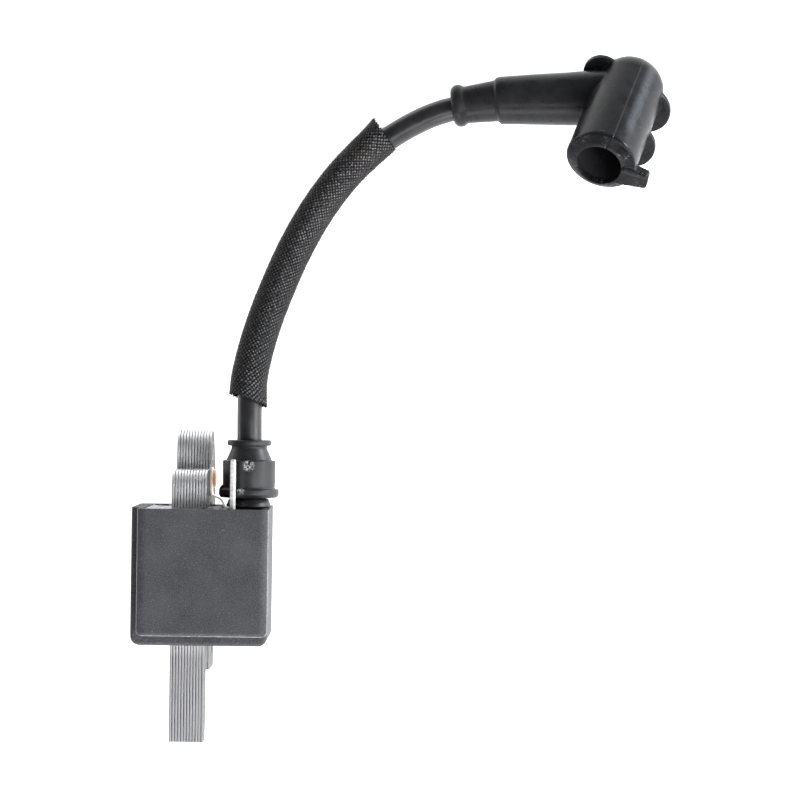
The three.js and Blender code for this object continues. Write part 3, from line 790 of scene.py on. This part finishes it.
def boot_rubber():
    """Satin black rubber: its mould line, a scuffed rim, painted light on the neck and a painted
    highlight streak.
    """
    s, grain, bloom = rubber("plug_boot_rubber", (0.006, 0.006, 0.007), (0.013, 0.013, 0.015),
                             0.30, dust=0.12, shine=0.12)
    inverse = BOOT.inverted()
    across, above, rise = (s.reach(row[:3], row[3] * MM) for row in inverse[:3])
    off_line = s.combine("ABSOLUTE", across)
    line = s.spread(off_line, 0.00026, 0.00006)
    near_rim = s.product(s.spread(rise, 0.0325, 0.0342), s.spread(rise, 0.0372, 0.0352))
    scratches = s.spread(s.noise(0.5, 5, 0.75, at=s.stretched((0.6, 1, 1), (0.4, 0.9, 0.2))),
                         0.55, 0.66)
    scuff = s.product(near_rim, scratches, s.spread(s.noise(4, 2), 0.50, 0.66), 0.7)
    colour = s.painted()
    # painted light: the neck is painted lighter than the barrel
    neck_light = s.spread(s.reach((1, 0, 0)), 0.110, 0.096)
    colour = s.blend(neck_light, colour, s.blend(bloom, (0.007, 0.007, 0.008), (0.036, 0.036, 0.040)))
    colour = s.blend(scuff, colour, (0.40, 0.40, 0.40))
    # painted highlight: a pale bluish streak along the barrel beside the mould line
    highlight_band = s.spread(s.combine("ABSOLUTE", s.combine("SUBTRACT", across, 0.0034)), 0.0018, 0.0003)
    highlight_streaks = s.noise(0.6, 5, 0.75, at=s.stretched((1, 0.6, 1), (0.2, 0.4, 1.1)))
    painted_highlight = s.product(highlight_band, s.spread(rise, 0.0305, 0.026), s.spread(rise, -0.007, 0.001),
                         s.spread(above, 0.001, 0.004),
                         s.spread(highlight_streaks, 0.35, 0.65, 0.45, 1.0), 0.55)
    colour = s.blend(painted_highlight, colour, (0.125, 0.14, 0.155))
    apart = s.combine("SQRT", s.plus(s.product(off_line, off_line), s.product(above, above)))
    bore = s.product(s.spread(apart, 0.0070, 0.0064), s.spread(rise, 0.0345, 0.033))
    s.colour(s.blend(bore, colour, (0.045, 0.045, 0.048)))
    wiped = s.noise(0.7, 2, 0.5, at=s.stretched((0.5, 1.4, 0.5), (0.3, 0.1, 1.1)))
    return s.relief((grain, 0.2, 0.04), (bloom, 0.1, 0.3), (wiped, 0.06, 0.04),
                    (line, 0.8, 0.12))


def make_plug_boot():
    material = boot_rubber()
    outside = joined(placed(barrel_outside(), BOOT), neck_outside(), bead(), pull_tab(),
                     web(), *(grip(*g) for g in GRIPS))
    boot = add_mesh("plug_boot_body", *outside, material)
    apply_modifier(boot, "REMESH", mode="VOXEL", voxel_size=BOOT_VOXEL * MM)
    apply_modifier(boot, "SMOOTH", iterations=3, factor=0.5)
    bore = placed(lathe(rounded_profile(
        [(0, -1.5), (BARREL["inner"], -1.5), (BARREL["inner"], 14.5), (BARREL["bore"], 16.5),
         (BARREL["bore"], 33.4), (BARREL["bore"] - 0.3, 34.4), (BARREL["bore"] - 0.3, 35.2),
         (BARREL["bore"] + 0.5, 40), (0, 40)], 0.4)), BOOT)
    lead_bore = placed(lathe([(0, -6), (6.2, -6), (3.75, 5.5), (3.75, 46), (0, 46)], 48),
                       along(NECK_START, NECK_END))
    carve(boot, bore)
    carve(boot, lead_bore)
    shade(boot, 50)
    return claim(boot, "plug", "plug_boot")


boot = make_plug_boot()


CONTACT = {"turns": 5, "pitch": 2.0, "start": 4.6, "radius": 3.9, "wire": 0.5, "steps": 24}


def make_contact():
    """The coil of spring wire that grips the plug's terminal, and its tail."""
    radius, steps = CONTACT["radius"], CONTACT["steps"]
    neck = (NECK_END - NECK_START).normalized()
    inverse = BOOT.inverted()
    tail = [inverse @ (NECK_START + neck * d) for d in (41, 43)]
    angle = math.atan2(tail[1].y, tail[1].x) + 0.5
    points = [tuple(p) for p in tail]
    for i in range(CONTACT["turns"] * steps + 1):
        turn = angle + 2 * math.pi * i / steps
        points.append((radius * math.cos(turn), radius * math.sin(turn),
                       CONTACT["start"] + CONTACT["pitch"] * i / steps))
    line = route(points, 3)
    _, sides, ups = frames(line)
    rings = [line + CONTACT["wire"] * (math.cos(a) * sides + math.sin(a) * ups)
             for a in np.linspace(0, 2 * math.pi, 10, endpoint=False)]
    wire = loft(np.stack(rings, axis=1))
    piece = add_mesh("plug_contact", *placed(wire, BOOT),
                     metal("spring_wire", (0.45, 0.45, 0.46), (0.75, 0.75, 0.76), 0.25, 0.5, 0.1),
                     smooth_angle=60)
    return claim(piece, "plug", "plug_contact_spring")


contact = make_contact()

# ---- laminated core ----

CORE = {
    "tip": box_mm("lamination_01")[0].y, "front": 31.0, "leg_back": 21.0, "rear": 10.0,
    "bridge_bottom": 23.0, "bridge_top": 32.6, "rear_end": -25.3, "corner": 4.6,
    "pole_back": 25.5,
}
SHEETS = 12
OUT_OF_LINE = (0.03, 0.05)  # how far a sheet may sit off its neighbours, along Y and Z
FLYWHEEL = {"y": -61.25, "z": -3.0, "r": 36.0}
LOBE = {"y": 37.6, "z": 11.0, "r": 6.0}
BOLTS = ((37.6, 11.0, 2.6), (-19.4, 5.0, 2.6), (30.0, 19.0, 1.7))


def arc(y, z, r, start, end, steps):
    return [(y + r * math.cos(a), z + r * math.sin(a)) for a in np.linspace(start, end, steps)]


def lamination_outline():
    fly, pole_back, corner = FLYWHEEL, CORE["pole_back"], CORE["corner"]
    arc_start = math.asin((pole_back - fly["z"]) / fly["r"])
    arc_tip = math.acos((CORE["tip"] - fly["y"]) / fly["r"])
    points = [(CORE["tip"], CORE["front"])]
    points += arc(fly["y"], fly["z"], fly["r"], arc_tip, arc_start, 9)
    points += [(-24.2, pole_back), (-21.7, CORE["leg_back"]),
               (CORE["bridge_bottom"], CORE["leg_back"]), (CORE["bridge_bottom"], CORE["rear"]),
               (-17.6, CORE["rear"]), (-17.6, 12.4), (CORE["rear_end"], 12.4),
               (CORE["rear_end"], 0)]
    points += [(LOBE["y"] - LOBE["r"], 0)]
    tangent = math.atan2(-LOBE["z"], -LOBE["r"]) + math.acos(
        LOBE["r"] / math.hypot(LOBE["r"], LOBE["z"]))
    points += arc(LOBE["y"], LOBE["z"], LOBE["r"], tangent, math.pi / 2, 26)
    points += [(CORE["bridge_top"], LOBE["z"] + LOBE["r"])]
    points += arc(CORE["bridge_top"] - corner, CORE["front"] - corner, corner, 0, math.pi / 2,
                  12)
    return points


def make_laminations():
    """Twelve punched sheets, each a hair out of line with the next, with softened edges."""
    edge = steel_edges()
    face = insulating_varnish()
    outline = lamination_outline()
    for i in range(SHEETS):
        node = f"lamination_{i + 1:02d}"
        low, high = box_mm(node)
        dy, dz = (rng.uniform(-most, most) for most in OUT_OF_LINE)
        rings = [[(x, y + dy, max(z + dz, 0.0)) for y, z in outline] for x in (low.x, high.x)]
        sheet = add_mesh(f"core_sheet_{i + 1:02d}", *loft(rings), edge)
        for y, z, r in BOLTS:
            carve(sheet, lying(rod(r, 2, 36), low.x + 0.37, y, z))
        bevel(sheet, 0.16, 3, 50)
        shade(sheet, 40, flat_faces=True)
        sheet.data.materials.append(face)
        for polygon in sheet.data.polygons:  # varnish reaches over the flanks of each edge
            polygon.material_index = 1 if abs(polygon.normal.x) > 0.65 else 0
        claim(sheet, "coil", node)


make_laminations()

# ---- coil case ----


def rounded_rectangle(x0, y0, x1, y1, r, steps=8):
    points = []
    for cx, cy, start in ((x1 - r, y0 + r, -90), (x1 - r, y1 - r, 0), (x0 + r, y1 - r, 90),
                          (x0 + r, y0 + r, 180)):
        for angle in np.radians(np.linspace(start, start + 90, steps)):
            points.append((cx + r * math.cos(angle), cy + r * math.sin(angle)))
    return points


def rounded_block(x0, y0, x1, y1, z0, z1, corner, round_low, round_high, across=1.0, steps=6):
    """A block with rounded upright corners and rounded ends; across widens the top's rounding."""
    rings = []
    ends = [(z0, round_low, 1, a) for a in np.linspace(math.pi / 2, 0, steps)]
    ends += [(z1, round_high, -1, a) for a in np.linspace(0, math.pi / 2, steps)]
    for z, r, way, angle in ends:
        inset = r * (1 - math.cos(angle))
        height = z + way * r * (1 - math.sin(angle))
        wide = inset * across if way < 0 else inset
        shape = rounded_rectangle(x0 + wide, y0 + inset, x1 - wide, y1 - inset,
                                  max(corner - inset, 0.25))
        rings.append([(x, y, height) for x, y in shape])
    return loft(rings)


def square_block(low, high):
    (x0, y0, z0), (x1, y1, z1) = low, high
    return loft([[(x0, y0, z), (x1, y0, z), (x1, y1, z), (x0, y1, z)] for z in (z0, z1)])


CASE = {"step": 36.0, "pocket_left": -17.7, "pocket_bottom": -12.8, "wall": 1.5, "right": 18.0,
        "corner": 2.6, "pocket_corner": 1.6}


def make_case():
    low, high = CASE_LOW, CASE_HIGH
    over = high.y + 8
    block = rounded_block(low.x, low.y, CASE["right"], over, low.z, CASE["step"], CASE["corner"],
                          0.9, 1.1)
    case = add_mesh("case_shell", *block, case_plastic())
    carve(case, rounded_block(CASE["pocket_left"], CASE["pocket_bottom"], high.x, over + 1,
                              CASE["step"] - 3, high.z, CASE["pocket_corner"], 0.2, 1.2, 2.1),
          "UNION")
    carve(case, square_block((-60, high.y, -60), (60, 80, 90)))
    wall = CASE["wall"]
    carve(case, square_block((CASE["pocket_left"] + wall, CASE["pocket_bottom"] + wall,
                              low.z + wall), (CASE["right"] - wall, high.y + 9, high.z - wall)))
    carve(case, square_block((STACK_LEFT - 0.1, low.y - 9, CORE["leg_back"] - 0.1),
                             (STACK_RIGHT + 0.16, high.y, CORE["front"] + 0.1)))
    # Slot 1 paints a pale highlight on the bevelled edges and on the sloping rounding round the
    # top.
    case.data.materials.append(edge_highlight_plastic())
    bevel(case, 0.2, 2, 60, material=1)
    shade(case, 35, flat_faces=True)
    for polygon in case.data.polygons:
        if polygon.center.z > (CASE["step"] + 5) * MM and 0.02 < polygon.normal.z < 0.55:
            polygon.material_index = 1
    claim(case, "coil", "coil_case")


make_case()


MENISCUS = {"reach": 0.55, "rise": 0.3, "most": 1.2, "proud": 0.35}


def make_resin():
    """The poured top of the potting, drawn up in a meniscus along everything it wets."""
    low, high = box_mm("potting_resin")
    grid_x, grid_z = np.meshgrid(np.linspace(low.x, high.x, 120),
                                 np.linspace(low.z, high.z, 110), indexing="ij")

    def box_gap(x0, z0, x1, z1):
        dx = np.maximum(np.maximum(x0 - grid_x, grid_x - x1), 0)
        dz = np.maximum(np.maximum(z0 - grid_z, grid_z - z1), 0)
        return np.hypot(dx, dz)

    tab_low, tab_high = box_mm("kill_tab")
    strip_low, strip_high = box_mm("ground_strip")
    wall = np.minimum.reduce([grid_x - low.x, high.x - grid_x, grid_z - low.z, high.z - grid_z])
    wetted = [
        wall,
        box_gap(STACK_LEFT, CORE["leg_back"], STACK_RIGHT, CORE["front"]),
        box_gap(tab_low.x, tab_low.z, tab_high.x, tab_high.z),
        box_gap(strip_high.x - 1.2, strip_low.z, strip_high.x, strip_high.z),
        np.maximum(np.hypot(grid_x - TOWER_X, grid_z - TOWER_Z) - TOWER_RADIUS, 0),
    ]
    rise = sum(np.exp(-gap / MENISCUS["reach"]) for gap in wetted)
    level = (high.y + MENISCUS["proud"] + MENISCUS["rise"] * np.minimum(rise, MENISCUS["most"])
             + 0.10 * np.sin(grid_x * 0.9 + 1) * np.cos(grid_z * 0.7)
             + 0.05 * np.sin(grid_x * 2.3 + grid_z * 1.7))
    slices = np.concatenate(
        [np.stack([grid_x, level, grid_z], axis=-1),
         np.stack([grid_x, np.full_like(level, low.y), grid_z], axis=-1)[:, ::-1]], axis=1)
    piece = add_mesh("potting_top", *loft(slices), resin())
    for x0, z0, x1, z1 in (
            (STACK_LEFT - 0.02, CORE["leg_back"] - 0.02, STACK_RIGHT + 0.08, CORE["front"] + 0.02),
            (tab_low.x - 0.02, tab_low.z - 0.02, tab_high.x + 0.02, tab_high.z + 0.02),
            (strip_high.x - 1.5, strip_low.z - 0.02, strip_high.x + 0.05, strip_high.z + 0.02)):
        carve(piece, square_block((x0, 0, z0), (x1, 40, z1)))
    carve(piece, lying(rod(TOWER_RADIUS + 0.05, 30, 64), TOWER_X, 20, TOWER_Z, "X"))
    shade(piece, 45)
    claim(piece, "coil", "potting_resin")


make_resin()

# ---- tower and exit boot ----

ON_TOWER = Matrix.Translation((TOWER_X, 0, TOWER_Z)) @ Matrix.Rotation(-math.pi / 2, 4, "X")


def make_tower():
    profile = rounded_profile(
        [(0, 18), (TOWER_RADIUS, 18), (TOWER_RADIUS, 22.4), (6.4, 22.4), (5.6, 24.6), (4.8, 24.7),
         (4.8, 34.6), (3.85, 34.6), (3.85, 24.2), (0, 24.2)], 0.35)
    piece = add_mesh("tower_moulding", *placed(lathe(profile, 72), ON_TOWER),
                     plastic("tower_plastic", (0.010, 0.010, 0.011), (0.022, 0.022, 0.024), 0.4))
    claim(piece, "coil", "hv_tower")


def scuff_at(s, place, size, grain):
    """A ragged pale mark of about this size round a place, in millimetres."""
    gap = s.distance(Vector(place) * MM)
    return s.product(s.spread(gap, size * MM, size * 0.5 * MM), grain)


def exit_rubber():
    """Satin rubber with two pale scuffs on its front."""
    s, grain, bloom = rubber("exit_boot_rubber", (0.010, 0.010, 0.011), (0.022, 0.022, 0.024),
                             0.42, dust=0.15)
    ragged = s.spread(s.noise(0.7, 4, 0.8, distortion=1.5), 0.50, 0.55)
    marks = s.plus(scuff_at(s, (11.9, 34.2, 31.3), 1.9, ragged),
                   scuff_at(s, (9.9, 27.0, 32.0), 1.3, ragged), clamp=True)
    colour = s.painted()
    s.colour(s.blend(s.product(marks, 0.9), colour, (0.80, 0.80, 0.80)))
    return s.relief((grain, 0.25, 0.04), (bloom, 0.12, 0.3), (marks, 0.4, 0.1))


def make_exit_boot():
    profile = rounded_profile([
        (5.15, 25), (8.0, 25), (8.5, 25.9), (8.45, 27.3), (7.55, 27.5), (7.3, 27.9), (7.4, 28.2),
        (7.45, 35.4), (6.45, 35.5), (5.05, 38.7), (5.0, 39.5), (6.15, 39.7), (6.2, 40.9),
        (5.95, 41.2), (3.7, 41.2), (3.7, 35.8), (5.15, 35), (5.15, 25)], 0.22, 5)
    body = loft([circle(r, 84, y) for r, y in profile], closed=False)
    lug = lying(rod(1.9, 2, 36, 0.5), -6.4, 0, 26.9, "X")
    boot_piece = add_mesh("exit_boot_body", *placed(joined(body, lug), ON_TOWER), exit_rubber())
    claim(boot_piece, "coil", "exit_boot")


make_tower()
make_exit_boot()

# ---- kill tab, earth strip and rivet ----


def soften(piece, width):
    bevel(piece, width, 3, 40)
    shade(piece, 35, flat_faces=True)


TAB_HOLE, TAB_CORNER = 0.9, 1.7


def make_kill_tab():
    low, high = box_mm("kill_tab")
    cut = TAB_CORNER
    outline = [(low.y, low.z), (high.y - cut, low.z), (high.y, low.z + cut),
               (high.y, high.z - cut), (high.y - cut, high.z), (low.y, high.z)]
    zinc = metal("zinc_plate", (0.40, 0.40, 0.38), (1.0, 1.0, 0.97), 0.42, 1.1, 0.4, 0.1)
    piece = add_mesh("kill_blade",
                     *loft([[(x, y, z) for y, z in outline] for x in (low.x, high.x)]), zinc)
    carve(piece, lying(rod(TAB_HOLE, 2, 32), low.x, high.y - 4, (low.z + high.z) / 2))
    soften(piece, 0.22)
    claim(piece, "coil", "kill_tab")


def make_ground_strip():
    low, high = box_mm("ground_strip")
    inner = low.x
    path = route([(inner, high.y, 0), (inner, 30, 0), (inner, 26.4, 0), (inner + 0.4, 25.1, 0),
                  (inner + 1.6, 24.6, 0), (inner + 2.7, 24.1, 0), (inner + 3.6, 22.8, 0),
                  (inner + 4.05, 21.2, 0), (inner + 4.1, low.y, 0)], 6)
    tangents = unit(np.gradient(path, axis=0))
    normals = np.stack([-tangents[:, 1], tangents[:, 0], np.zeros(len(path))], axis=1)
    rings = []
    for point, normal in zip(path, normals):
        outer = point + normal * 0.5
        rings.append([(point[0], point[1], low.z), (outer[0], outer[1], low.z),
                      (outer[0], outer[1], high.z), (point[0], point[1], high.z)])
    # painted glow: the strip gets a faint emission of its light colour
    tin = metal("tinned_strip", (0.66, 0.63, 0.55), (1.0, 0.98, 0.93), 0.34, 1.4, 0.4, 0.1, 0.3)
    piece = add_mesh("earth_strip", *loft(rings), tin)
    soften(piece, 0.12)
    claim(piece, "coil", "ground_strip")


def make_rivet():
    low, high = box_mm("ground_rivet")
    y, z = (low.y + high.y) / 2, (low.z + high.z) / 2
    profile = [(0, low.x), (1.5, low.x), (1.5, high.x - 1.1), (2.7, high.x - 1.1),
               (2.7, high.x - 0.75), (2.45, high.x - 0.3), (1.7, high.x - 0.05),
               (0.9, high.x), (0, high.x)]
    part = lying(lathe(rounded_profile(profile, 0.3), 48), 0, y, z)
    # painted glow: the rivet gets a faint emission of its light colour
    copper = metal("copper", (0.85, 0.40, 0.26), (1.0, 0.72, 0.55), 0.3, 0.9, 0.35, 0.1, 0.22)
    piece = add_mesh("copper_rivet", *part, copper)
    claim(piece, "coil", "ground_rivet")


make_kill_tab()
make_ground_strip()
make_rivet()

# ---- carried-over CAD nodes inside the case ----

INSIDE = [
    (("primary_bobbin", "secondary_bobbin"),
     plastic("nylon", (0.60, 0.55, 0.42), (0.78, 0.74, 0.62), 0.5)),
    (("primary_winding", "secondary_winding"), wound_wire()),
    (("circuit_board",), circuit_board()),
    (("storage_capacitor", "bias_resistor", "timing_resistor"),
     plastic("ceramic", (0.40, 0.24, 0.10), (0.62, 0.42, 0.22), 0.4)),
    (("switching_transistor", "trigger_transistor", "damping_diode"),
     plastic("epoxy", (0.010, 0.010, 0.011), (0.03, 0.03, 0.032), 0.5)),
    (("hv_terminal",), metal("terminal_plate", (0.5, 0.5, 0.48), (0.8, 0.8, 0.78), 0.3)),
]


def dress(node, material):
    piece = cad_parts[node]
    if not piece.material_slots:
        piece.data.materials.append(material)
    for place in piece.material_slots:
        place.material = material


for nodes, material in INSIDE:
    for node in nodes:
        dress(node, material)

# ---- bench and studio light ----


MIDDLE = (0.054, 0.053, 0)  # metres
BENCH_HALF, BENCH_Z = 3.0, -0.0002
GLOW, GLOW_FADES = 0.95, (0.17, 0.26)  # the paper glows round the part, and not beyond the view
# The world's light: a direction, the span of the view's share along it, and the two levels.
HORIZON = (0, 0, 1), (0.1, 0.8), (1.9, 0.0)
NEAR_SIDE = (0.5, -0.85, 0), (-0.4, 0.9), (0.08, 1.0)
DIMMEST = 0.16
LAMPS = [  # name, place, aim, size, watts, colour
    ("key", (0.50, -0.18, 0.80), MIDDLE, (0.12, 0.50), 4.4, (0.93, 0.96, 1.0)),
    ("front", (-0.15, -1.15, 0.60), MIDDLE, (1.0, 0.5), 10, (1, 1, 1)),
    ("right", (1.15, -0.05, 0.55), MIDDLE, (0.6, 0.8), 9, (1, 1, 1)),
    ("over", (0.05, -0.45, 0.90), MIDDLE, (0.5, 0.12), 2.0, (1, 1, 1)),
    ("low", (0.98, 0.60, 0.07), (0.119, 0.143, 0.02), (0.16, 0.10), 9, (0.86, 0.93, 1.0)),
]


def make_stage():
    mesh = bpy.data.meshes.new("bench")
    corners = ((-1, -1), (1, -1), (1, 1), (-1, 1))
    mesh.from_pydata([(x * BENCH_HALF, y * BENCH_HALF, BENCH_Z) for x, y in corners], [],
                     [(0, 1, 2, 3)])
    bench = add_object("bench", mesh)
    paper = Surface("bench_paper", roughness=0.9, Specular_IOR_Level=0.1)
    paper.colour(paper.blend(paper.noise(60, 2), (0.93, 0.93, 0.93), (0.95, 0.95, 0.95)))
    paper.shader.inputs["Emission Color"].default_value = (1, 1, 1, 1)
    glow = paper.spread(paper.distance(MIDDLE), *GLOW_FADES, GLOW, 0.0)
    paper.tree.links.new(glow, paper.shader.inputs["Emission Strength"])
    mesh.materials.append(paper.material)


def area_light(name, place, aim, size, power, colour):
    data = bpy.data.lights.new(name, "AREA")
    data.shape = "RECTANGLE"
    data.size, data.size_y = size
    data.energy = power
    data.color = colour
    light = add_object(name, data)
    light.location = place
    light.rotation_euler = (Vector(aim) - Vector(place)).to_track_quat("-Z", "Y").to_euler()


def make_light():
    """A light tent: bright all round the horizon and dim overhead, with soft lamps outside it."""
    world = bpy.data.worlds.new("studio")
    bpy.context.scene.world = world
    world.use_nodes = True
    tree = world.node_tree
    background = tree.nodes["Background"]
    background.inputs["Color"].default_value = (1, 1, 1, 1)
    toward = add_node(tree, "TexCoord").outputs["Generated"]

    def ramp(direction, span, levels):
        """A smooth rise of light between two values of the view's share along a direction."""
        share = add_node(tree, "VectorMath", {0: toward, 1: direction}, operation="DOT_PRODUCT")
        return add_node(tree, "MapRange", {
            "Value": share.outputs["Value"], "From Min": span[0], "From Max": span[1],
            "To Min": levels[0], "To Max": levels[1]}, interpolation_type="SMOOTHSTEP"
        ).outputs["Result"]

    total = add_node(tree, "Math", {0: ramp(*HORIZON), 1: ramp(*NEAR_SIDE), 2: DIMMEST},
                     operation="MULTIPLY_ADD")
    tree.links.new(total.outputs["Value"], background.inputs["Strength"])
    for lamp in LAMPS:
        area_light(*lamp)


make_stage()
make_light()
